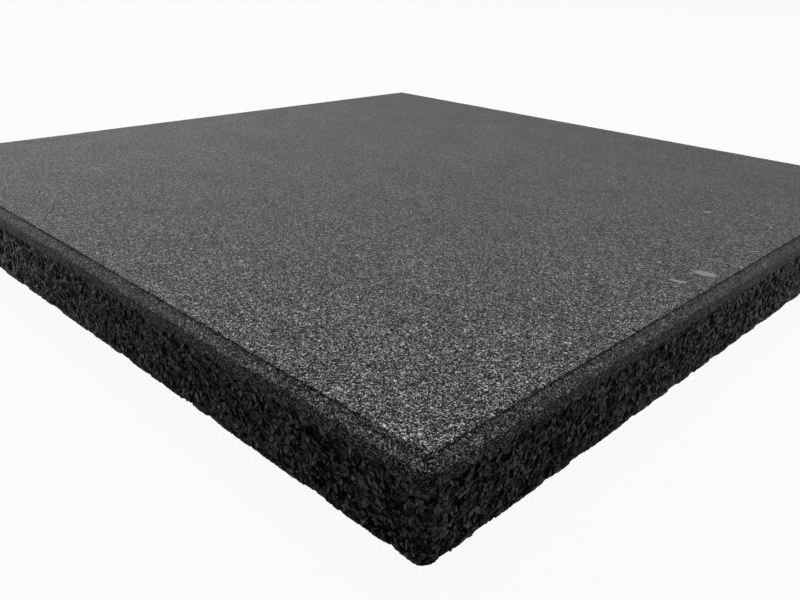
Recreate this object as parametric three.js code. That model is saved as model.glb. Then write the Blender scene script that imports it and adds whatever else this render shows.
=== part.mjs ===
// A square rubber floor tile for gyms and playgrounds, pressed from rubber crumb in two layers:
// a wear layer of fine granules, bonded to a thicker base layer of coarse chips.
// The walking face is a flat panel that stands a small step above a bevel, which runs all round
// and slopes down to the upright sides. The underside is flat, and its lower edge is eased.
// Units are millimetres. +Z is up, and the origin is the middle of the underside.

import * as THREE from "three";

// Driving dimensions
const tileSide = 500; // width and depth over the upright sides
const tileThickness = 40; // underside to walking face
const wearLayerThickness = 10; // fine granules, measured at the walking face
const sideCornerRadius = 6; // the four upright corners, seen from above
const panelCornerRadius = 1.5; // the corners of the flat walking face, seen from above
const bevelWidth = 4; // from the upright side in to the foot of the step
const bevelDrop = 3.4; // height that the bevel loses over its width
const bevelEdgeRound = 1; // where the bevel rolls over into the upright side
const stepHeight = 1.1; // the riser from the bevel up to the walking face
const stepSlant = 0.3; // how far the riser leans in over its height
const panelEdgeRound = 0.4; // the edge of the walking face
const lowerEdgeRound = 1.2; // the edge round the underside

// How finely round stretches are divided
const cornerSegments = 8;
const edgeSegments = 3;

// Sizes that follow from them
const layerHeight = tileThickness - wearLayerThickness; // where the two layers meet
const bevelFoot = tileThickness - stepHeight; // the bevel's upper edge, at the foot of the step
const bevelEdge = bevelFoot - bevelDrop; // the bevel's lower edge, at the upright side
const panelInset = bevelWidth + stepSlant + panelEdgeRound; // from the side in to the flat face
const halfTile = tileSide / 2; // from the sides in to the middle

// A closed ring of points: the tile's outline seen from above, moved in from the sides by inset.
// Its corners tighten on the way from the sides to the walking face.
function outlineRing(inset, height) {
  const halfSide = halfTile - inset;
  const radius = THREE.MathUtils.lerp(sideCornerRadius, panelCornerRadius, inset / panelInset);
  const centre = halfSide - radius;
  const ring = [];
  for (let corner = 0; corner < 4; corner++) {
    const middleAngle = Math.PI / 4 + (corner * Math.PI) / 2;
    const centreX = centre * Math.sign(Math.cos(middleAngle));
    const centreY = centre * Math.sign(Math.sin(middleAngle));
    for (let step = 0; step <= cornerSegments; step++) {
      const angle = (corner * Math.PI) / 2 + (step / cornerSegments) * (Math.PI / 2);
      ring.push(
        new THREE.Vector3(centreX + radius * Math.cos(angle), centreY + radius * Math.sin(angle), height),
      );
    }
  }
  return ring;
}

// A solid whose side follows a section from bottom to top. Each section point is (inset, height),
// and becomes a ring round the tile. The first and last rings are closed by flat faces.
function solidFromSection(sectionPoints) {
  const rings = sectionPoints.map((point) => outlineRing(point.x, point.y));
  const perRing = rings[0].length;
  const positions = rings.flat().flatMap((point) => point.toArray());
  const triangles = [];
  for (let ring = 0; ring + 1 < rings.length; ring++) {
    for (let i = 0; i < perRing; i++) {
      const next = (i + 1) % perRing;
      const lower = ring * perRing;
      const upper = lower + perRing;
      triangles.push(lower + i, lower + next, upper + next);
      triangles.push(lower + i, upper + next, upper + i);
    }
  }
  const flatOutline = rings[0].map((point) => new THREE.Vector2(point.x, point.y));
  const topStart = (rings.length - 1) * perRing;
  for (const [a, b, c] of THREE.ShapeUtils.triangulateShape(flatOutline, [])) {
    triangles.push(c, b, a);
    triangles.push(topStart + a, topStart + b, topStart + c);
  }
  const geometry = new THREE.BufferGeometry();
  geometry.setAttribute("position", new THREE.Float32BufferAttribute(positions, 3));
  geometry.setIndex(triangles);
  geometry.computeVertexNormals();
  return geometry;
}

// The point on the way from one section point to another, a given distance after the first.
function pointTowards(from, to, distance) {
  const way = to.clone().sub(from);
  return from.clone().add(way.setLength(Math.min(distance, way.length() / 2)));
}

// A section through the corner points given, with the corners that have a rounding rolled over.
function roundedSection(corners) {
  const points = [];
  corners.forEach(({ at, rounding = 0 }, i) => {
    if (!rounding) {
      points.push(at);
      return;
    }
    const start = pointTowards(at, corners[i - 1].at, rounding);
    const end = pointTowards(at, corners[i + 1].at, rounding);
    points.push(...new THREE.QuadraticBezierCurve(start, at, end).getPoints(edgeSegments));
  });
  return points;
}

// In both sections the point at the tile's middle only gives the flat face its direction,
// and is sliced off, because a flat face closes the solid there.
function baseLayerGeometry() {
  return solidFromSection(
    roundedSection([
      { at: new THREE.Vector2(halfTile, 0) },
      { at: new THREE.Vector2(0, 0), rounding: lowerEdgeRound },
      { at: new THREE.Vector2(0, layerHeight) },
    ]).slice(1),
  );
}

function wearLayerGeometry() {
  return solidFromSection(
    roundedSection([
      { at: new THREE.Vector2(0, layerHeight) },
      { at: new THREE.Vector2(0, bevelEdge), rounding: bevelEdgeRound },
      { at: new THREE.Vector2(bevelWidth, bevelFoot) },
      { at: new THREE.Vector2(bevelWidth + stepSlant, tileThickness), rounding: panelEdgeRound },
      { at: new THREE.Vector2(halfTile, tileThickness) },
    ]).slice(0, -1),
  );
}

const coarseRubber = new THREE.MeshStandardMaterial({
  name: "coarse_rubber",
  color: new THREE.Color(0.028, 0.028, 0.029),
  roughness: 0.62,
  metalness: 0,
});
const fineRubber = new THREE.MeshStandardMaterial({
  name: "fine_rubber",
  color: new THREE.Color(0.085, 0.085, 0.086),
  roughness: 0.78,
  metalness: 0,
});

function namedMesh(name, geometry, material) {
  const mesh = new THREE.Mesh(geometry, material);
  mesh.name = name;
  return mesh;
}

const tile = new THREE.Group();
tile.name = "rubber_floor_tile";
tile.add(namedMesh("base_layer", baseLayerGeometry(), coarseRubber));
tile.add(namedMesh("wear_layer", wearLayerGeometry(), fineRubber));

export default tile;
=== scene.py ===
import math

import bpy
import numpy as np
from mathutils import Matrix, Vector, geometry


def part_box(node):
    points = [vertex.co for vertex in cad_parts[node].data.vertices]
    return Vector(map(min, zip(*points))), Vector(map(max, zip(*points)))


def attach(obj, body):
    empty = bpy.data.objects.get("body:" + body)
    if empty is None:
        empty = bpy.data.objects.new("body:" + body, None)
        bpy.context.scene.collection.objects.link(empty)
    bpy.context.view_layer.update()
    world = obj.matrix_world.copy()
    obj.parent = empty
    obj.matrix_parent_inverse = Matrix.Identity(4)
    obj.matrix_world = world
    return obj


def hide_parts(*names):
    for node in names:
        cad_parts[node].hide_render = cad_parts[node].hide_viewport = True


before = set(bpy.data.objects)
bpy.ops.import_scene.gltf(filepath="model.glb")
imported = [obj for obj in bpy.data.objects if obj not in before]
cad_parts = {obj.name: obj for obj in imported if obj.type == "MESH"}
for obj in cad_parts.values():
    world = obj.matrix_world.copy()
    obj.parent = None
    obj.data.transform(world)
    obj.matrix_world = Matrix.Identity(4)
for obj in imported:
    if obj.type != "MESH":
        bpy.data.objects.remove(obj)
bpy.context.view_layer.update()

# A black rubber floor tile. The sides are a skin of separate coarse chips with dark cracks between
# them. Above them runs a rim of fine granules with a bevel, and the walking face is a flat panel a
# small step higher.

# Sizes from the frame, and the tile's section as the solids have it
MM = 0.001
WEAR_LOW, WEAR_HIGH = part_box("wear_layer")
HALF_TILE = WEAR_HIGH.x
LAYER_HEIGHT = WEAR_LOW.z
WALKING_HEIGHT = WEAR_HIGH.z
SIDE_CORNER = 6 * MM
PANEL_CORNER = 1.5 * MM
BEVEL_WIDTH = 4 * MM
BEVEL_DROP = 3.4 * MM
STEP_HEIGHT = 1.1 * MM
STEP_SLANT = 0.3 * MM
PANEL_EDGE = 0.4 * MM
LOWER_EDGE = 1.2 * MM
PANEL_INSET = BEVEL_WIDTH + STEP_SLANT + PANEL_EDGE
BEVEL_FOOT = WALKING_HEIGHT - STEP_HEIGHT
BEVEL_EDGE = BEVEL_FOOT - BEVEL_DROP

# Once round the outer wall, in four quarters that each go from the middle of one side to the next
STRAIGHT = 2 * (HALF_TILE - SIDE_CORNER)
CORNER_ARC = SIDE_CORNER * math.pi / 2
QUARTER = STRAIGHT + CORNER_ARC
ROUND_TRIP = 4 * QUARTER


def outline(along, inset):
    """Points of the tile's outline seen from above, moved in from the sides by inset.
    along is the distance round the outer wall, from the middle of the front side and anticlockwise."""
    radius = np.maximum(SIDE_CORNER + (PANEL_CORNER - SIDE_CORNER) * inset / PANEL_INSET, 0.5 * MM)
    centre = HALF_TILE - inset - radius
    quarter = np.floor(along / QUARTER)
    local = along - quarter * QUARTER
    angle = np.clip((local - STRAIGHT / 2) / SIDE_CORNER, 0, math.pi / 2)
    before = np.clip(local, 0, STRAIGHT / 2) / (STRAIGHT / 2)
    after = np.clip(local - STRAIGHT / 2 - CORNER_ARC, 0, STRAIGHT / 2) / (STRAIGHT / 2)
    x = centre * before + radius * np.sin(angle)
    y = -centre * (1 - after) - radius * np.cos(angle)
    turn = quarter * math.pi / 2
    return x * np.cos(turn) - y * np.sin(turn), x * np.sin(turn) + y * np.cos(turn)


class Section:
    """A line across the tile's edge, as (inset, height) points, that runs outwards and down."""

    def __init__(self, points, sample=0.1 * MM):
        points = np.array(points, float)
        reach = np.concatenate([[0], np.cumsum(np.linalg.norm(np.diff(points, axis=0), axis=1))])
        self.length = reach[-1]
        self.at = np.linspace(0, self.length, max(2, int(self.length / sample)))
        self.inset = np.interp(self.at, reach, points[:, 0])
        self.height = np.interp(self.at, reach, points[:, 1])
        slope_inset = np.gradient(self.inset, self.at)
        slope_height = np.gradient(self.height, self.at)
        size = np.hypot(slope_inset, slope_height)
        self.out_inset = slope_height / size
        self.out_height = -slope_inset / size

    def place(self, along, down, out):
        """Points in space: along the tile's edge, down the section, and out from its surface."""
        inset = np.interp(down, self.at, self.inset) + out * np.interp(down, self.at, self.out_inset)
        height = np.interp(down, self.at, self.height) + out * np.interp(down, self.at, self.out_height)
        x, y = outline(along, inset)
        return np.stack([x, y, height], axis=-1)


def rounded_corner(before, corner, after, steps=6):
    """Points of a rounding that leaves the way to a corner at before and joins the way on at after."""
    share = np.linspace(0, 1, steps)[:, None]
    a, b, c = np.array(before), np.array(corner), np.array(after)
    return ((1 - share) ** 2 * a + 2 * share * (1 - share) * b + share**2 * c).tolist()


def waves(rng, shortest, longest, count=14):
    """A gentle random function of the way round the tile, from -1 to 1, that joins up with itself."""
    turns = np.round(ROUND_TRIP / np.exp(rng.uniform(math.log(shortest), math.log(longest), count)))
    starts = rng.uniform(0, 2 * math.pi, count)
    scale = 1 / math.sqrt(count)

    def wave(along):
        angles = np.asarray(along)[..., None] * (turns * 2 * math.pi / ROUND_TRIP) + starts
        return np.sin(angles).sum(axis=-1) * scale

    return wave


def ripples(rng, shortest, longest, count=24):
    """A gentle random function over a plane, about -1 to 1."""
    lengths = np.exp(rng.uniform(math.log(shortest), math.log(longest), count))
    directions = rng.uniform(0, 2 * math.pi, count)
    starts = rng.uniform(0, 2 * math.pi, count)
    scale = 1 / math.sqrt(count)

    def ripple(x, y):
        total = np.zeros(np.shape(x))
        for length, direction, start in zip(lengths, directions, starts):
            way = (x * math.cos(direction) + y * math.sin(direction)) * (2 * math.pi / length)
            total += np.sin(way + start)
        return total * scale

    return ripple


def new_piece(name, points, faces, material, replaced, shades=None):
    """A flat-shaded piece of the tile, where shades has a number for each face that its material reads."""
    mesh = bpy.data.meshes.new(name)
    mesh.from_pydata([tuple(p) for p in points], [], [tuple(f) for f in faces])
    if shades is not None:
        shade = mesh.attributes.new("shade", "FLOAT", "FACE")
        shade.data.foreach_set("value", np.array(shades, np.float32))
    mesh.materials.append(material)
    mesh.validate()
    mesh.update()
    piece = bpy.data.objects.new(name, mesh)
    bpy.context.scene.collection.objects.link(piece)
    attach(piece, "root")
    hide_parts(*replaced)


# Materials. A share runs from 0 to 1, and a tone is a linear grey value.

GRANULE = 0.46 * MM
PIT = 1.1 * MM
PALE_GRANULE = 1.6 * MM
PIT_SHARE = 0.6
PALE_SHARE = 0.045
SPOT_REACH = 0.45
UNDERSIDE_CHIP = 2.4 * MM
MEAN_CRUMB = 0.10
PALEST_CRUMB = 0.44
MEAN_CHIP = 0.065
PALEST_CHIP = 0.185
DARKEST = 0.002


class Graph:
    """Short names for the nodes that the materials are made of."""

    def __init__(self, name):
        self.material = bpy.data.materials.new(name)
        self.material.use_nodes = True
        self.tree = self.material.node_tree
        self.tree.nodes.clear()
        self.coordinates = self.add("ShaderNodeTexCoord").outputs["Object"]

    def add(self, kind, inputs=None, **settings):
        node = self.tree.nodes.new(kind)
        for key, value in settings.items():
            setattr(node, key, value)
        for key, value in (inputs or {}).items():
            if isinstance(value, bpy.types.NodeSocket):
                self.tree.links.new(value, node.inputs[key])
            else:
                node.inputs[key].default_value = value
        return node

    def math(self, operation, *values):
        return self.add("ShaderNodeMath", dict(enumerate(values)), operation=operation).outputs[0]

    def noise(self, size, detail=2.0, roughness=0.5):
        inputs = {"Vector": self.coordinates, "Scale": 1 / size, "Detail": detail, "Roughness": roughness}
        return self.add("ShaderNodeTexNoise", inputs).outputs["Fac"]

    def cells(self, size, feature="F1", output="Distance", vector=None):
        inputs = {"Vector": vector or self.coordinates, "Scale": 1 / size}
        return self.add("ShaderNodeTexVoronoi", inputs, feature=feature).outputs[output]

    def spread(self, value, low, high, to_low=0.0, to_high=1.0):
        inputs = {"Value": value, "From Min": low, "From Max": high, "To Min": to_low, "To Max": to_high}
        return self.add("ShaderNodeMapRange", inputs).outputs["Result"]

    def spots(self, size, share, reach):
        """1 in round spots, which a share of the cells of this size hold, and 0 between them.
        Reach is a spot's radius, as a share of the cell size."""
        held = self.math("GREATER_THAN", self.channel(self.cells(size, output="Color")), 1 - share)
        return self.math("MULTIPLY", self.spread(self.cells(size), 0.6 * reach, reach, 1.0, 0.0), held)

    def nearness(self):
        """1 at the front corner, less with the distance from it, and 0 on the far quarter of the way."""
        place = self.add("ShaderNodeSeparateXYZ", {"Vector": self.coordinates})
        to_front = self.math("SUBTRACT", place.outputs["X"], place.outputs["Y"])
        return self.math("POWER", self.spread(to_front, -HALF_TILE, 2 * HALF_TILE), 1.7)

    def channel(self, colour):
        return self.add("ShaderNodeSeparateColor", {"Color": colour}).outputs["Red"]

    def grey(self, value):
        inputs = {"Red": value, "Green": value, "Blue": value}
        return self.add("ShaderNodeCombineColor", inputs).outputs["Color"]

    def finish(self, colour, height, depth, **values):
        bump = self.add("ShaderNodeBump", {"Height": height, "Distance": depth, "Strength": 1.0})
        inputs = {"Base Color": colour, "Normal": bump.outputs["Normal"], **values}
        shader = self.add("ShaderNodeBsdfPrincipled", inputs)
        output = self.add("ShaderNodeOutputMaterial")
        self.tree.links.new(shader.outputs["BSDF"], output.inputs["Surface"])
        return self.material


def fine_rubber():
    """Granules of about half a millimetre, pressed flat, some far paler than others, with gaps and
    larger pits painted dark as shade, and a few pale granules. They stand out most towards the front
    corner.
    The bevel is painted darker than the walking face as painted shade, most at the foot of the step, and
    the band below it is painted paler again as painted light. Painted light also makes the whole face
    lighter on the -Y side and towards the front corner."""
    g = Graph("fine_rubber")
    pick = g.channel(g.cells(GRANULE, output="Color"))
    gap = g.cells(GRANULE, feature="DISTANCE_TO_EDGE")
    # Painted shade: the tone falls to a tenth in the gaps between granules.
    painted_gap_shade = g.spread(gap, 0.0, 0.14, 0.1, 1.0)
    crumb = g.math("MULTIPLY_ADD", g.math("POWER", pick, 2.6), PALEST_CRUMB, 0.003)
    crumb = g.math("MULTIPLY", crumb, painted_gap_shade)
    nearness = g.nearness()
    place = g.add("ShaderNodeSeparateXYZ", {"Vector": g.coordinates})
    height = place.outputs["Z"]
    on_panel = g.spread(height, WALKING_HEIGHT - 0.6 * MM, WALKING_HEIGHT - 0.15 * MM)
    contrast = g.math("MULTIPLY_ADD", nearness, 0.97, 0.32)
    contrast = g.math("MULTIPLY", contrast, g.math("MULTIPLY_ADD", on_panel, 0.2, 0.8))
    even = g.math("MULTIPLY_ADD", g.math("SUBTRACT", crumb, MEAN_CRUMB), contrast, MEAN_CRUMB)
    speckle = g.math("MAXIMUM", even, DARKEST)
    clump = g.spread(g.noise(2.2 * MM, 2.0), 0.3, 0.7, 0.66, 1.34)
    cloud = g.spread(g.noise(30 * MM, 3.0), 0.3, 0.7, 0.92, 1.08)
    # Painted light: lighter on the -Y side and darker towards +Y, for how the lamps fall across the face.
    painted_light_falloff = g.spread(place.outputs["Y"], -HALF_TILE, HALF_TILE, 1.13, 0.84)
    # Painted shade: below the walking face the tone is cut to about three quarters, and further at the foot
    # of the step.
    on_bevel = g.spread(height, BEVEL_FOOT - 1.3 * MM, BEVEL_FOOT, 0.76, 0.64)
    # Painted light: the upright band is painted paler, and paler still away from the front corner, as
    # painted sheen at grazing views.
    band_tone = g.math("MULTIPLY_ADD", nearness, -0.4, 1.72)
    on_band = g.spread(height, BEVEL_EDGE - 1 * MM, BEVEL_EDGE + 0.5 * MM, band_tone, 1.0)
    painted_rim_shade = g.math("MULTIPLY_ADD", on_panel, g.math("SUBTRACT", 1.0, on_bevel), on_bevel)
    tone = g.math("MULTIPLY", speckle, g.math("MULTIPLY", cloud, clump))
    tone = g.math("MULTIPLY", tone, g.math("MULTIPLY", painted_rim_shade, on_band))
    # Painted light: a little lighter again towards the front corner.
    tone = g.math("MULTIPLY", tone, g.math("MULTIPLY", painted_light_falloff, g.spread(nearness, 0.5, 1.0, 1.0, 1.07)))
    # Painted shade: the pits are darkened, to black at the front corner and less away from it.
    pits = g.spots(PIT, PIT_SHARE, SPOT_REACH)
    tone = g.math("MULTIPLY", tone, g.math("MULTIPLY_ADD", g.math("MULTIPLY", pits, nearness), -1.0, 1.0))
    pale = g.spots(PALE_GRANULE, PALE_SHARE, SPOT_REACH)
    pale = g.math("MULTIPLY", pale, g.spread(nearness, 0.2, 0.7))
    tone = g.math("MULTIPLY_ADD", g.math("MULTIPLY", pale, painted_rim_shade), 0.32, tone)
    crown = g.spread(gap, 0.0, 0.3, 0.0, 1.0)
    relief = g.math("ADD", g.math("MULTIPLY", crown, 0.6), g.math("MULTIPLY", pick, 0.8))
    relief = g.math("SUBTRACT", relief, pits)
    values = {"Roughness": 0.85, "Specular IOR Level": 0.12}
    return g.finish(g.grey(tone), relief, 0.24 * MM, **values)


def coarse_rubber():
    """Faces of cut chips, each with its own shade and fine tool marks. Their contrast falls off away
    from the front corner, and rises again on the two sides behind."""
    g = Graph("coarse_rubber")
    # The shade attribute holds each chip's own tone, and painted shade too: on deeper chips, on the chips'
    # sides and on the dark layer below.
    shade = g.add("ShaderNodeAttribute", attribute_name="shade").outputs["Fac"]
    face = g.math("MULTIPLY_ADD", shade, PALEST_CHIP, DARKEST)
    grime = g.spread(g.noise(1.1 * MM, 4.0, 0.65), 0.34, 0.66, 0.1, 1.9)
    nearness = g.nearness()
    on_hidden_sides = g.spread(nearness, 0.08, 0.3, 0.6, 0.0)
    contrast = g.math("ADD", g.spread(nearness, 0.4, 0.95, 0.4, 1.0), on_hidden_sides)
    even = g.math("SUBTRACT", g.math("MULTIPLY", face, grime), MEAN_CHIP)
    tone = g.math("MULTIPLY_ADD", even, contrast, MEAN_CHIP)
    marks = g.noise(0.5 * MM, 3.0, 0.6)
    values = {"Roughness": 0.6, "Specular IOR Level": 0.12, "Sheen Weight": 0.05, "Sheen Roughness": 0.4}
    return g.finish(g.grey(tone), marks, 0.14 * MM, **values)


def pale_rubber():
    """Dusty grey flakes and bits on the walking face."""
    g = Graph("pale_rubber")
    shade = g.add("ShaderNodeAttribute", attribute_name="shade").outputs["Fac"]
    tone = g.math("MULTIPLY", g.spread(g.noise(1.2 * MM, 2.0), 0.3, 0.7, 0.14, 0.20), shade)
    return g.finish(g.grey(tone), g.noise(0.8 * MM), 0.05 * MM, Roughness=0.8)


def coarse_underside():
    """The chips of the underside, drawn as cells with cracks painted dark as shade."""
    g = Graph("coarse_underside")
    bend = g.add("ShaderNodeTexNoise", {"Vector": g.coordinates, "Scale": 1 / (3 * MM)}).outputs["Color"]
    pulled = g.add("ShaderNodeVectorMath", {0: bend, 1: (2.2 * MM,) * 3}, operation="MULTIPLY").outputs[0]
    vector = g.add("ShaderNodeVectorMath", {0: g.coordinates, 1: pulled}, operation="ADD").outputs[0]
    pick = g.channel(g.cells(UNDERSIDE_CHIP, output="Color", vector=vector))
    gap = g.cells(UNDERSIDE_CHIP, feature="DISTANCE_TO_EDGE", vector=vector)
    crack = g.spread(gap, 0.02, 0.12)
    face = g.math("MULTIPLY_ADD", g.math("POWER", pick, 1.6), 0.030, 0.012)
    # Painted shade: the tone falls to a tenth in the cracks between cells.
    tone = g.math("MULTIPLY", face, g.math("MULTIPLY_ADD", crack, 0.9, 0.1))
    height = g.math("ADD", crack, g.math("MULTIPLY", pick, 0.5))
    return g.finish(g.grey(tone), height, 0.6 * MM, Roughness=0.55, **{"Specular IOR Level": 0.4})


FINE = fine_rubber()
COARSE = coarse_rubber()
UNDERSIDE = coarse_underside()
PALE = pale_rubber()


# Coarse chips round the sides: every chip is a closed prism of its own

# How far the chips go on behind the rim and under the tile, and past the strip that they are laid on
CHIP_TOP_OVERLAP = 1.2 * MM
UNDERSIDE_STRIP = 5 * MM
MARGIN = 12 * MM

# Limits for a chip's outline: its area, its edges, the sine of a corner that counts as straight, and
# how far a corner moves in
LEAST_CHIP = 0.12 * MM**2
SHORTEST_EDGE = 0.05 * MM
STRAIGHT_ENOUGH = 0.3
FURTHEST_MOVE = 0.9 * MM

# How far chips stand out, how thick they are at least, and how deep the lower edge is worn
HIGHEST_CHIP = 0.12 * MM
HIGHEST_AT_EDGE = 0.04 * MM
THINNEST_CHIP = 0.4 * MM
EDGE_WEAR = 0.6 * MM

# How far the lower edge and an upright corner have an effect on the chips
EDGE_REACH = 3 * MM
CORNER_REACH = 14 * MM

THREAD_HALF_WIDTH = 0.06 * MM

chip_section = Section(
    [(0, LAYER_HEIGHT + CHIP_TOP_OVERLAP)]
    + rounded_corner((0, LOWER_EDGE), (0, 0), (LOWER_EDGE, 0))
    + [(LOWER_EDGE + UNDERSIDE_STRIP, 0)]
)


def scatter_chips(rng, length, width, spacing):
    """Points on a strip that joins up with itself, and the chip that each belongs to. A chip has one to
    four points in a row, mostly along the strip, which makes it short or long. Some have a second row
    beside the first, which is part of the chip or a chip of its own."""
    columns = round(length / spacing[0])
    rows = round(width / spacing[1])
    column, row = np.meshgrid(np.arange(columns), np.arange(rows))
    column, row = column.ravel(), row.ravel()
    seeds = column.size
    x = (column + 0.5 * (row % 2) + rng.uniform(-0.45, 0.45, seeds)) * length / columns
    y = (row + 0.5 + rng.uniform(-0.45, 0.45, seeds)) * width / rows
    lying = rng.normal(0, 0.5, seeds)
    direction = np.where(rng.random(seeds) < 0.4, rng.uniform(0, math.pi, seeds), lying)
    in_row = rng.choice([1, 2, 3, 4], p=[0.24, 0.34, 0.26, 0.16], size=seeds)
    step = rng.uniform(0.75, 1.15, seeds) * MM
    side_by_side = rng.random(seeds) < 0.3
    broad = rng.random(seeds) < 0.5
    beside = rng.uniform(0.35, 0.6, seeds) * MM
    points, owners = [], []
    for side in (0, 1):
        across = np.where(side_by_side, (2 * side - 1) * beside, 0)
        for turn in range(4):
            has = (in_row > turn) & (side_by_side | (side == 0))
            shift = (turn - (in_row - 1) / 2) * step
            at_x = x + shift * np.cos(direction) - across * np.sin(direction)
            at_y = y + shift * np.sin(direction) + across * np.cos(direction)
            points.append(np.stack([at_x, at_y], axis=-1)[has])
            owners.append((np.arange(seeds) + np.where(broad, 0, side * seeds))[has])
    return np.concatenate(points), np.concatenate(owners)


def with_surroundings(points, owners, length, width):
    """The points, with copies past both ends of the strip and mirrored past both its edges."""
    inside = (points[:, 1] > 0) & (points[:, 1] < width)
    points, owners = points[inside], owners[inside]
    most = owners.max() + 1
    sets = [(points, owners)]
    for copy, shift in ((1, length), (2, -length)):
        moved = points + [shift, 0]
        near = (moved[:, 0] > -MARGIN) & (moved[:, 0] < length + MARGIN)
        sets.append((moved[near], owners[near] + copy * most))
    points = np.concatenate([p for p, _ in sets])
    owners = np.concatenate([o for _, o in sets])
    low = points[:, 1] < MARGIN
    high = points[:, 1] > width - MARGIN
    mirrored_low = points[low] * [1, -1]
    mirrored_high = points[high] * [1, -1] + [0, 2 * width]
    ghosts = np.full(low.sum() + high.sum(), -1)
    return np.concatenate([points, mirrored_low, mirrored_high]), np.concatenate([owners, ghosts])


def outlines_of_chips(points, owners):
    """Each chip's outline, anticlockwise: its edges lie midway to the neighbours' points."""
    found = geometry.delaunay_2d_cdt([Vector(p / MM) for p in points], [], [], 0, 1e-7, True)
    sites = np.array([v[:] for v in found[0]]) * MM
    owner = np.array([owners[source[0]] for source in found[3]])
    triangles = np.array(found[2])
    a, b, c = (sites[triangles[:, i]] for i in range(3))
    ab, ac = b - a, c - a
    cross = ab[:, 0] * ac[:, 1] - ab[:, 1] * ac[:, 0]
    ab2, ac2 = (ab**2).sum(axis=1), (ac**2).sum(axis=1)
    centre_x = (ac[:, 1] * ab2 - ab[:, 1] * ac2) / (2 * cross)
    centre_y = (ab[:, 0] * ac2 - ac[:, 0] * ab2) / (2 * cross)
    corners = a + np.stack([centre_x, centre_y], axis=-1)
    flipped = cross < 0
    triangles[flipped] = triangles[flipped][:, ::-1]

    start = triangles.ravel()
    end = np.roll(triangles, -1, axis=1).ravel()
    triangle = np.repeat(np.arange(len(triangles)), 3)
    key, twin_key = start * len(sites) + end, end * len(sites) + start
    order = np.argsort(key)
    place = np.clip(np.searchsorted(key[order], twin_key), 0, len(key) - 1)
    has_twin = key[order][place] == twin_key
    twin = triangle[order][place]
    border = has_twin & (owner[start] != owner[end]) & (owner[end] >= 0)
    steps = {}
    links = np.stack([owner[end], triangle, twin], axis=-1)[border]
    for chip, here, following in links.tolist():
        steps.setdefault(chip, {})[here] = following
    outlines = []
    for way in steps.values():
        while way:
            first, following = way.popitem()
            loop = [first]
            while following in way:
                loop.append(following)
                following = way.pop(following)
            flat = corners[loop]
            flat = flat[np.linalg.norm(flat - np.roll(flat, 1, axis=0), axis=1) > SHORTEST_EDGE]
            if following == first and len(flat) > 2:
                outlines.append(flat)
    return outlines


def area_inside(points):
    """The area of an outline, which is positive where it runs anticlockwise."""
    after = np.roll(points, -1, axis=0)
    return 0.5 * np.sum(points[:, 0] * after[:, 1] - points[:, 1] * after[:, 0])


def simpler(points, most):
    """The outline without its least corners, so that no more than the given number are left."""
    while len(points) > most:
        back, ahead = points - np.roll(points, 1, axis=0), np.roll(points, -1, axis=0) - points
        corner = np.abs(back[:, 0] * ahead[:, 1] - back[:, 1] * ahead[:, 0])
        points = np.delete(points, np.argmin(corner), axis=0)
    return points


def moved_in(points, distances):
    """An anticlockwise outline with every edge moved in by its own distance, or nothing if none is left."""
    edge = np.roll(points, -1, axis=0) - points
    inward = np.stack([-edge[:, 1], edge[:, 0]], axis=-1) / np.linalg.norm(edge, axis=1)[:, None]
    before = np.roll(inward, 1, axis=0)
    cross = before[:, 0] * inward[:, 1] - before[:, 1] * inward[:, 0]
    straight = np.abs(cross) < STRAIGHT_ENOUGH
    safe = np.where(straight, 1.0, cross)
    for share in (1.0, 0.5, 0.2):
        here, last = share * distances, share * np.roll(distances, 1)
        shift_x = (last * inward[:, 1] - here * before[:, 1]) / safe
        shift_y = (before[:, 0] * here - inward[:, 0] * last) / safe
        level = (inward + before) * (0.25 * (here + last))[:, None]
        shift = np.where(straight[:, None], level, np.stack([shift_x, shift_y], axis=-1))
        size = np.maximum(np.linalg.norm(shift, axis=1), 1e-9)
        moved = points + shift * np.minimum(1, FURTHEST_MOVE / size)[:, None]
        kept_edge = np.roll(moved, -1, axis=0) - moved
        if (kept_edge * edge).sum(axis=1).min() > 0 and area_inside(moved) > LEAST_CHIP:
            return moved
    return None


def broken(rng, points):
    """The two parts of an outline that is broken along a line through its middle."""
    angle = rng.uniform(0, math.pi)
    side = (points - points.mean(axis=0)) @ [-math.sin(angle), math.cos(angle)]
    next_side, next_points = np.roll(side, -1), np.roll(points, -1, axis=0)
    parts = []
    for sign in (1, -1):
        part = []
        for here, after, point, following in zip(side, next_side, points, next_points):
            if sign * here > 0:
                part.append(point)
            if here * after < 0:
                part.append(point + (following - point) * here / (here - after))
        if len(part) > 2:
            parts.append(np.array(part))
    return parts


class Chips:
    """Closed prisms along the sides, gathered to become one piece."""

    def __init__(self):
        self.flat, self.out, self.faces, self.shades = [], [], [], []
        self.count = 0

    def prism(self, front, front_out, back, back_out, shade):
        """Front and back are anticlockwise outlines, as (along, down). Each has its distance out from the
        surface. The sides get painted light and shade: those that face up are painted lighter, as if they
        catch light, and the others dark."""
        size = len(front)
        ring = list(range(self.count, self.count + 2 * size))
        self.count += 2 * size
        self.flat += [front, back]
        self.out += [front_out, np.full(size, back_out)]
        self.faces.append(ring[:size][::-1])
        self.faces.append(ring[size:])
        self.shades += [shade, 0.0]
        for i in range(size):
            j = (i + 1) % size
            self.faces.append([ring[i], ring[j], ring[size + j], ring[size + i]])
            edge = front[j] - front[i]
            facing_up = max(0.0, edge[0] / math.hypot(edge[0], edge[1]))
            # Painted light and shade on the sides: lighter the more they face up.
            self.shades.append((0.03 + 0.3 * facing_up**2) * shade)

    def piece(self, name):
        flat, out = np.concatenate(self.flat), np.concatenate(self.out)
        points = chip_section.place(flat[:, 0], flat[:, 1], out)
        points[:, 2] = np.maximum(points[:, 2], 0)
        new_piece(name, points, self.faces, COARSE, ["base_layer"], self.shades)


def quarter_at(quarters, along):
    """The quarter of the way round that holds a place along it."""
    return quarters[int(along / QUARTER) % 4]


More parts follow.
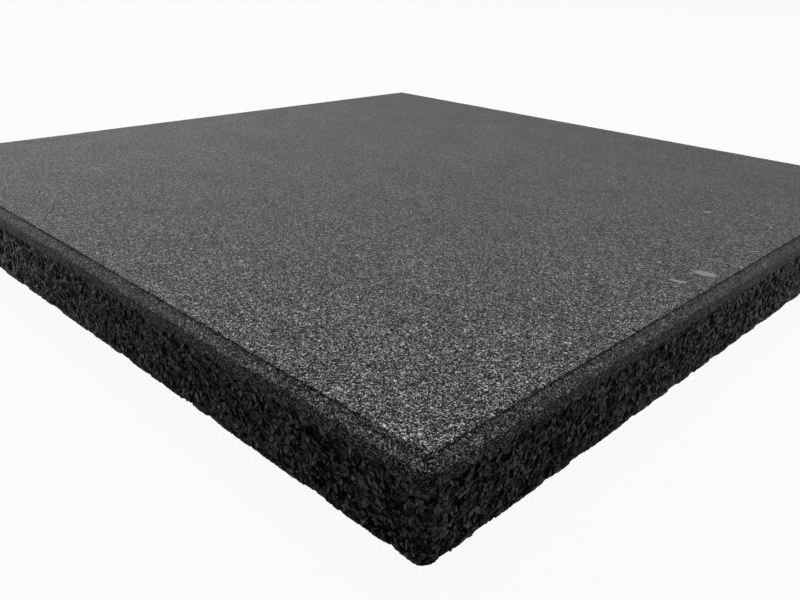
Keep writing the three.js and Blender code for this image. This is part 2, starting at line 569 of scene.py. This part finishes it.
def lay_chips(rng, quarters, spacing, most_corners, gap, sunk, bottom, missing, shade, worn, split):
    """A layer of chips. Gap, sunk and shade give random values for one chip, and split is the share of
    the chips that are broken in two. Chips are missing in clusters, but hardly at the upright corners
    and not along the lower edge. There they lie close together and almost flush, and sink in a little
    where the edge is worn."""
    width = chip_section.length
    lower_edge = width - UNDERSIDE_STRIP - EDGE_REACH
    cluster = ripples(rng, 7 * MM, 50 * MM)
    points, owners = scatter_chips(rng, ROUND_TRIP, width, spacing)
    points, owners = with_surroundings(points, owners, ROUND_TRIP, width)
    for outline_points in outlines_of_chips(points, owners):
        middle = outline_points.mean(axis=0)
        at_edge = middle[1] > lower_edge
        density = float(cluster(middle[0], middle[1]))
        to_corner = abs(middle[0] % QUARTER - QUARTER / 2)
        away_from_corner = min(1, 0.2 + to_corner / CORNER_REACH)
        left_out = not at_edge and rng.random() < missing * (1 + 0.9 * density) * away_from_corner
        if left_out or not 0 <= middle[0] < ROUND_TRIP:
            continue
        parts = broken(rng, outline_points) if rng.random() < split else [outline_points]
        for part in parts:
            front = simpler(part, rng.choice(most_corners))
            if area_inside(front) < LEAST_CHIP:
                continue
            front = moved_in(front, gap(len(front)) * (0.4 if at_edge else 1))
            if front is None:
                continue
            middle = front.mean(axis=0)
            tilt = rng.normal(0, 0.03 if at_edge else 0.16, 2)
            depth = sunk() * (0.2 if at_edge else 1)
            if at_edge:
                depth += EDGE_WEAR * min(1.0, max(0.0, 1.2 * float(worn(middle[0]))))
            highest = HIGHEST_AT_EDGE if at_edge else HIGHEST_CHIP
            out = np.clip((front - middle) @ tilt - depth, bottom + THINNEST_CHIP, highest)
            back = middle + (front - middle) * rng.uniform(0.75, 1.05)
            shadow = 1 - 0.45 * depth / (1 * MM)
            quarter_at(quarters, middle[0]).prism(front, out, back, bottom, shadow * shade())


def lay_crumbs(rng, quarters, count):
    """Small bits of pale crumb that stick to the chips."""
    for _ in range(count):
        middle = np.array([rng.uniform(0, ROUND_TRIP), rng.uniform(2 * MM, LAYER_HEIGHT)])
        size = rng.integers(4, 6)
        angles = np.sort(rng.uniform(0, 1, size) + np.arange(size)) * 2 * math.pi / size
        reach = rng.uniform(0.10, 0.26) * MM * rng.uniform(0.7, 1.2, size)
        front = middle + np.stack([np.cos(angles), np.sin(angles)], axis=-1) * reach[:, None]
        if area_inside(front) > 0:
            out = rng.uniform(-0.35, 0.12) * MM + rng.uniform(-0.06, 0.06, size) * MM
            shade = rng.uniform(1.2, 2.2)
            quarter_at(quarters, middle[0]).prism(front, out, front, -1.2 * MM, shade)


def lay_fibres(rng, quarters, count):
    """Thin threads of the tyre cord, some millimetres long and a little bent."""
    for _ in range(count):
        middle = np.array([rng.uniform(0, ROUND_TRIP), rng.uniform(4 * MM, LAYER_HEIGHT - 3 * MM)])
        angle = rng.normal(0, 0.8)
        bend = rng.normal(0, 0.5)
        half = rng.uniform(0.8, 3.2) * MM
        share = np.linspace(-1, 1, 5)
        turn = angle + bend * share
        line = np.stack([np.cos(turn), np.sin(turn)], axis=-1) * (half * share)[:, None]
        across = np.stack([-np.sin(turn), np.cos(turn)], axis=-1) * THREAD_HALF_WIDTH
        front = middle + np.concatenate([line - across, (line + across)[::-1]])
        out = np.full(len(front), rng.uniform(-0.05, 0.12) * MM)
        shade = rng.uniform(0.6, 1.3)
        quarter_at(quarters, middle[0]).prism(front, out, front, -0.5 * MM, shade)


def chips(rng):
    """The skin of the sides: a layer of chips over a darker one, which is painted dark as shade in the
    gaps, with crumbs and threads on it.
    """
    quarters = [Chips() for _ in range(4)]
    worn = waves(rng, 16 * MM, 80 * MM)
    lay_chips(
        rng,
        quarters,
        spacing=(2.75 * MM, 1.95 * MM),
        most_corners=[4, 5, 5, 6, 7],
        gap=lambda edges: (0.06 + np.minimum(rng.exponential(0.1, edges), 0.6)) * MM,
        sunk=lambda: min(rng.exponential(0.28), 1.2) * MM,
        bottom=-2.0 * MM,
        missing=0.17,
        split=0.4,
        shade=lambda: 0.06 + 0.88 * rng.random(),
        worn=worn,
    )
    lay_chips(
        rng,
        quarters,
        spacing=(3.6 * MM, 2.8 * MM),
        most_corners=[6, 7, 8],
        gap=lambda edges: rng.uniform(0.0, 0.12, edges) * MM,
        sunk=lambda: rng.uniform(0.9, 1.9) * MM,
        bottom=-2.9 * MM,
        missing=0.0,
        split=0.0,
        # Painted shade: the layer below is nearly black, as the gaps between the chips above would be in
        # shade.
        shade=lambda: 0.12 * rng.random(),
        worn=worn,
    )
    lay_crumbs(rng, quarters, count=900)
    lay_fibres(rng, quarters, count=700)
    for number, quarter in enumerate(quarters):
        quarter.piece(f"coarse_chips_{number + 1}")


# Core of the base layer, whose lower face is the underside

CORE_INSET = 2.5 * MM
UNDERSIDE_GRID = 2.2 * MM


def base_core(rng):
    """A block behind the chips, whose lower face is slightly uneven."""
    half = HALF_TILE - CORE_INSET
    lines = np.linspace(-half, half, int(2 * half / UNDERSIDE_GRID))
    x, y = (v.ravel() for v in np.meshgrid(lines, lines))
    number = np.arange(x.size).reshape(len(lines), len(lines))
    border = np.concatenate([number[0, :-1], number[:-1, -1], number[-1, :0:-1], number[:0:-1, 0]])
    jitter = 0.3 * UNDERSIDE_GRID
    inside = (np.abs(x) < half - jitter) & (np.abs(y) < half - jitter)
    x = x + np.where(inside, rng.uniform(-jitter, jitter, x.size), 0)
    y = y + np.where(inside, rng.uniform(-jitter, jitter, y.size), 0)
    rise = rng.exponential(0.16, x.size) * MM
    edge = np.maximum(np.abs(x), np.abs(y)) > half - 1.5 * UNDERSIDE_GRID
    bottom = np.stack([x, y, np.minimum(rise, 0.7 * MM) + np.where(edge, 0.5 * MM, 0)], axis=-1)
    top_rim = bottom[border] * [1, 1, 0] + [0, 0, LAYER_HEIGHT - 1 * MM]
    points = np.concatenate([bottom, top_rim])
    upper = len(bottom) + np.arange(len(border))
    cells = np.stack([number[:-1, :-1], number[1:, :-1], number[1:, 1:], number[:-1, 1:]], axis=-1)
    faces = cells.reshape(-1, 4).tolist()
    faces += np.stack([border, np.roll(border, -1), np.roll(upper, -1), upper], axis=-1).tolist()
    faces.append(upper.tolist())
    new_piece("base_core", points, faces, UNDERSIDE, ["base_layer"])


def wrapped_faces(rings, columns):
    """Faces between rings of points that run round the tile, with the first ring innermost or highest."""
    number = np.arange(rings * columns).reshape(rings, columns)
    a, b = number[:-1], np.roll(number, -1, axis=1)[:-1]
    c, d = np.roll(number, -1, axis=1)[1:], number[1:]
    return np.stack([a, d, c, b], axis=-1).reshape(-1, 4)


# Rim of fine granules: the bevel and the upright band

RIM_GRID = 0.8 * MM
RIM_LAP = 2 * MM
BEVEL_ROUND = 1 * MM
RIM_INNER_INSET = 9 * MM
BAND_FADE = 1.5 * MM

# Where the step is worn away near the corner that shows: the middle and the reach along the outline
WORN_MIDDLE = 231 * MM
WORN_REACH = 19 * MM


def filled_step(rng):
    """How much of the step is filled with granules along the outline, from 0 to 1."""
    rise = waves(rng, 3 * MM, 30 * MM)

    def share(along):
        worn = np.exp(-(((along - WORN_MIDDLE) / WORN_REACH) ** 4))
        return np.clip(0.1 + 0.26 * rise(along) + 0.82 * worn, 0.0, 0.92)

    return share


def rim(rng, filled):
    """The bevel and the band as one closed ring, with a grainy surface and a ragged lower line."""
    slope = math.hypot(BEVEL_WIDTH, BEVEL_DROP)
    on_bevel = (BEVEL_WIDTH * BEVEL_ROUND / slope, BEVEL_EDGE + BEVEL_DROP * BEVEL_ROUND / slope)
    section = Section(
        [(BEVEL_WIDTH + RIM_LAP, BEVEL_FOOT - 0.2 * MM), (BEVEL_WIDTH, BEVEL_FOOT)]
        + rounded_corner(on_bevel, (0, BEVEL_EDGE), (0, BEVEL_EDGE - BEVEL_ROUND))
        + [(0, LAYER_HEIGHT - 1.2 * MM)]
    )
    columns = round(ROUND_TRIP / RIM_GRID)
    rows = round(section.length / RIM_GRID)
    column, row = np.meshgrid(np.arange(columns), np.arange(rows + 1))
    jitter = 0.3 * RIM_GRID
    inner_row = (row > 0) & (row < rows)
    along = column * ROUND_TRIP / columns + rng.uniform(-jitter, jitter, column.shape)
    down = row * section.length / rows + np.where(inner_row, rng.uniform(-jitter, jitter, row.shape), 0)
    wander = waves(rng, 4 * MM, 40 * MM)
    grain = rng.normal(0, 0.05, column.shape) * MM
    out = np.clip(grain, -0.22 * MM, 0.16 * MM) + 0.08 * MM * wander(along)
    past_step = np.clip((down - RIM_LAP) / (1.7 * MM), 0, 1)
    out = out + (0.9 * STEP_HEIGHT * filled(along) - 0.05 * MM) * (1 - past_step) ** 1.5
    ragged = waves(rng, 1.6 * MM, 16 * MM, 30)
    to_end = section.length - down + 1.0 * MM * ragged(along)
    out = out - 0.9 * MM * np.clip(1 - to_end / BAND_FADE, 0, 1.6) ** 1.3
    surface = section.place(along, down, out)
    inner_low = section.place(along[-1], np.full(columns, section.length), np.full(columns, -3.2 * MM))
    far_x, far_y = outline(along[0], np.full(columns, RIM_INNER_INSET))
    inner_mid = np.stack([far_x, far_y, np.full(columns, LAYER_HEIGHT - 1 * MM)], axis=-1)
    inner_high = np.stack([far_x, far_y, np.full(columns, BEVEL_FOOT - 1 * MM)], axis=-1)
    rings = np.concatenate([surface, [inner_low, inner_mid, inner_high, surface[0]]])
    faces = wrapped_faces(len(rings), columns)
    joined = faces.copy()
    last_ring = faces >= (len(rings) - 1) * columns
    joined[last_ring] -= (len(rings) - 1) * columns
    new_piece("fine_rim", rings[:-1].reshape(-1, 3), joined, FINE, ["wear_layer"])


# Walking face: a flat panel whose edge stands a step above the bevel

PANEL_EDGE_GRID = 0.75 * MM
PANEL_GRID = 3.0 * MM
PANEL_RIM = 1.3 * MM
# The rolled edge in millimetres, as distances out from the flat face's edge and down from it, and
# how far down it is buried in the rim
ROLLED_EDGE = [(-0.55, 0.0), (-0.1, 0.03), (0.2, 0.14), (0.42, 0.42), (0.55, 0.9), (0.6, 1.8), (0.6, 4.0)]
BURIED_BELOW = 1.5


def panel(rng):
    """The flat face with its rolled edge, which wobbles a little along the step."""
    columns = round(ROUND_TRIP / PANEL_EDGE_GRID)
    even = np.arange(columns) * ROUND_TRIP / columns
    swell = ripples(rng, 9 * MM, 60 * MM)
    wobble = waves(rng, 1.8 * MM, 22 * MM, 30)
    x, y = outline(even, np.full(columns, PANEL_INSET + PANEL_RIM))
    rings = [np.stack([x, y, np.full(columns, WALKING_HEIGHT)], axis=-1)]
    for out, down in ROLLED_EDGE:
        buried = down > BURIED_BELOW
        jitter = 0 if buried else 0.28 * PANEL_EDGE_GRID
        along = even + rng.uniform(-1, 1, columns) * jitter
        grain = np.clip(rng.normal(0, 0.0 if buried else 0.07, columns) * MM, -0.15 * MM, 0.15 * MM)
        x, y = outline(along, PANEL_INSET - out * MM - 0.13 * MM * wobble(along) + grain)
        dents = np.clip(rng.normal(0, 0.04, columns) * MM, -0.1 * MM, 0.1 * MM)
        drop = down * MM + (0 if down == 0 else 1) * dents
        rings.append(np.stack([x, y, WALKING_HEIGHT - drop], axis=-1))
    rings = np.concatenate(rings)
    faces = wrapped_faces(len(ROLLED_EDGE) + 1, columns).tolist()
    last = len(ROLLED_EDGE) * columns
    faces.append(list(range(last + columns - 1, last - 1, -1)))

    half = HALF_TILE - PANEL_INSET - PANEL_RIM - 1.2 * MM
    lines = np.linspace(-half, half, int(2 * half / PANEL_GRID))
    grid_x, grid_y = (v.ravel() for v in np.meshgrid(lines, lines))
    jitter = 0.3 * PANEL_GRID
    free = (np.abs(grid_x) < half - jitter) & (np.abs(grid_y) < half - jitter)
    grid_x = grid_x + np.where(free, rng.uniform(-jitter, jitter, grid_x.size), 0)
    grid_y = grid_y + np.where(free, rng.uniform(-jitter, jitter, grid_y.size), 0)
    inner = np.stack([grid_x, grid_y, np.full(grid_x.size, WALKING_HEIGHT)], axis=-1)
    flat = np.concatenate([rings[:columns, :2], inner[:, :2]])
    ring_edges = [(i, (i + 1) % columns) for i in range(columns)]
    filled = geometry.delaunay_2d_cdt([Vector(p / MM) for p in flat], ring_edges, [], 1, 1e-6, True)
    number = [s[0] if s[0] < columns else len(rings) + s[0] - columns for s in filled[3]]
    faces += [[number[i] for i in triangle] for triangle in filled[2]]
    points = np.concatenate([rings, inner])
    level = swell(points[:, 0], points[:, 1]) - 1.5
    points[:, 2] += 0.035 * MM * level
    new_piece("walking_panel", points, faces, FINE, ["wear_layer"])


# Pale flakes and bits that lie on the walking face: middle x and y, length, width, all in
# millimetres, direction in degrees and brightness

FLAKES = {
    "flake_large": (236, -37.5, 12, 7.5, 5, 0.73),
    "flake_thin": (231.5, -57, 8.5, 2.5, 15, 1.0),
    "flake_small": (191.5, 64.5, 5, 3.2, 60, 1.0),
    "flake_narrow": (240.5, 15, 4.5, 1.5, 45, 1.0),
    "bit_1": (213.5, -39, 2, 1.7, 20, 1.4),
    "bit_2": (219, -37, 1.7, 1.5, 80, 1.2),
    "bit_3": (229.5, 64.5, 2.2, 2, 0, 1.2),
    "bit_4": (211.5, 80.5, 2, 1.8, 40, 1.2),
    "bit_5": (244.5, -14.5, 2, 1.6, 70, 1.5),
    "bit_6": (198, -82.5, 1.5, 1.2, 10, 1.7),
    "bit_7": (206.5, -82, 1.5, 1.1, 50, 1.7),
    "bit_8": (193, -86, 1.4, 1.1, 0, 1.6),
    "bit_9": (211, -57, 1.6, 1.1, 110, 1.5),
    "bit_10": (190.5, -89.5, 1.3, 1.2, 80, 1.4),
    "bit_11": (168, -37, 1.7, 1.2, 30, 1.3),
}
FLAKE_SUNK = 0.14 * MM
FLAKE_THICKNESS = 0.29 * MM
FLAKE_CORNERS = 10


def flakes(rng):
    """Thin closed leaves that lie on the walking face."""
    size = FLAKE_CORNERS
    turn = np.arange(size) * 2 * math.pi / size
    for name, (x, y, length, width, direction, shade) in FLAKES.items():
        ragged = rng.uniform(0.85, 1.1, size)
        a = math.radians(direction)
        along, across = 0.5 * length * ragged * np.cos(turn), 0.5 * width * ragged * np.sin(turn)
        flat_x = (x + along * math.cos(a) - across * math.sin(a)) * MM
        flat_y = (y + along * math.sin(a) + across * math.cos(a)) * MM
        bottom = np.stack([flat_x, flat_y, np.full(size, WALKING_HEIGHT - FLAKE_SUNK)], axis=-1)
        top = bottom + [0, 0, FLAKE_THICKNESS]
        faces = [list(range(size))[::-1], list(range(size, 2 * size))]
        faces += [[i, (i + 1) % size, size + (i + 1) % size, size + i] for i in range(size)]
        points = np.concatenate([bottom, top])
        new_piece(name, points, faces, PALE, ["wear_layer"], [shade] * len(faces))


chips(np.random.default_rng(11))
base_core(np.random.default_rng(12))
rim_rng = np.random.default_rng(13)
rim(rim_rng, filled_step(rim_rng))
panel(np.random.default_rng(14))
flakes(np.random.default_rng(15))


# Stage: a white floor that runs up into a backdrop, and soft light from behind, both sides and the front

FLOOR_REACH = 12.0
FLOOR_GLOW = 0.940675
FLOOR_GREY = 0.015
# From the middle out, as shares of the reach: the distance and the height
FLOOR_PROFILE = [(0.0, 0.0), (0.75, 0.0), (0.88, 0.04), (0.97, 0.14), (1.0, 0.3), (1.0, 1.0)]
FLOOR_CORNERS = 48


def stage():
    """A floor that glows white and takes a faint shadow, but lights nothing."""
    g = Graph("white_stage")
    glow = g.add("ShaderNodeEmission", {"Color": (1, 1, 1, 1), "Strength": FLOOR_GLOW})
    matt = g.add("ShaderNodeBsdfDiffuse", {"Color": (FLOOR_GREY, FLOOR_GREY, FLOOR_GREY, 1)})
    both = g.add("ShaderNodeAddShader", {0: glow.outputs[0], 1: matt.outputs[0]})
    output = g.add("ShaderNodeOutputMaterial")
    g.tree.links.new(both.outputs[0], output.inputs["Surface"])
    ring = FLOOR_CORNERS
    points, faces = [(0, 0, 0)], []
    for share, height in FLOOR_PROFILE[1:]:
        for i in range(ring):
            angle = 2 * math.pi * i / ring
            reach = FLOOR_REACH * share
            points.append((reach * math.cos(angle), reach * math.sin(angle), FLOOR_REACH * height))
    for i in range(ring):
        j = (i + 1) % ring
        faces.append((0, 1 + i, 1 + j))
        for level in range(len(FLOOR_PROFILE) - 2):
            low, high = 1 + level * ring, 1 + (level + 1) * ring
            faces.append((low + i, high + i, high + j, low + j))
    mesh = bpy.data.meshes.new("floor")
    mesh.from_pydata(points, [], faces)
    mesh.materials.append(g.material)
    floor = bpy.data.objects.new("floor", mesh)
    bpy.context.scene.collection.objects.link(floor)
    floor.visible_diffuse = False
    floor.visible_glossy = False


def soft_light(name, azimuth, elevation, distance, size, power):
    """A square light that faces the tile. Azimuth 0 is on the -Y side, and 90 on the +X side. Angles are
    in degrees, distance and size in metres, and power in watts."""
    a, e = math.radians(azimuth), math.radians(elevation)
    direction = Vector((math.sin(a) * math.cos(e), -math.cos(a) * math.cos(e), math.sin(e)))
    data = bpy.data.lights.new(name, "AREA")
    data.shape = "SQUARE"
    data.size = size
    data.energy = power
    light = bpy.data.objects.new(name, data)
    light.location = direction * distance
    light.rotation_euler = direction.to_track_quat("Z", "Y").to_euler()
    bpy.context.scene.collection.objects.link(light)


def lights():
    soft_light("key_behind", 216, 66, 5.0, 2.5, 340)
    soft_light("high_left", 270, 36, 1.2, 0.6, 6.0)
    soft_light("side_left", 313, 5, 0.85, 0.5, 3.2)
    soft_light("side_right", 135, 5, 0.85, 0.5, 3.3)
    soft_light("fill_front", 44, 30, 2.6, 1.6, 4.5)
    world = bpy.data.worlds.new("studio")
    world.use_nodes = True
    world.node_tree.nodes["Background"].inputs["Color"].default_value = (1, 1, 1, 1)
    world.node_tree.nodes["Background"].inputs["Strength"].default_value = 0.08
    bpy.context.scene.world = world


# Camera, fitted to the tile's edges in the 800 x 600 photograph

CAMERA_AZIMUTH = 43.683
CAMERA_ELEVATION = 23.664
CAMERA_ROLL = -1.935
CAMERA_FOCAL_PIXELS = 770.04
CAMERA_PLACE = Vector((370.43, -390.83, 173.44)) * MM
PHOTO_WIDTH = 800


def camera():
    a, e, r = (math.radians(v) for v in (CAMERA_AZIMUTH, CAMERA_ELEVATION, CAMERA_ROLL))
    forward = -Vector((math.sin(a) * math.cos(e), -math.cos(a) * math.cos(e), math.sin(e)))
    level = forward.cross(Vector((0, 0, 1))).normalized()
    upright = level.cross(forward)
    right = level * math.cos(r) - upright * math.sin(r)
    up = right.cross(forward)
    data = bpy.data.cameras.new("camera")
    data.sensor_width = 36
    data.lens = CAMERA_FOCAL_PIXELS / PHOTO_WIDTH * data.sensor_width
    data.clip_start = 0.01
    data.clip_end = 100
    eye = bpy.data.objects.new("camera", data)
    eye.matrix_world = Matrix((right, up, -forward)).transposed().to_4x4()
    eye.location = CAMERA_PLACE
    bpy.context.scene.collection.objects.link(eye)
    bpy.context.scene.camera = eye


stage()
lights()
camera()
bpy.context.scene.view_settings.view_transform = "Standard"
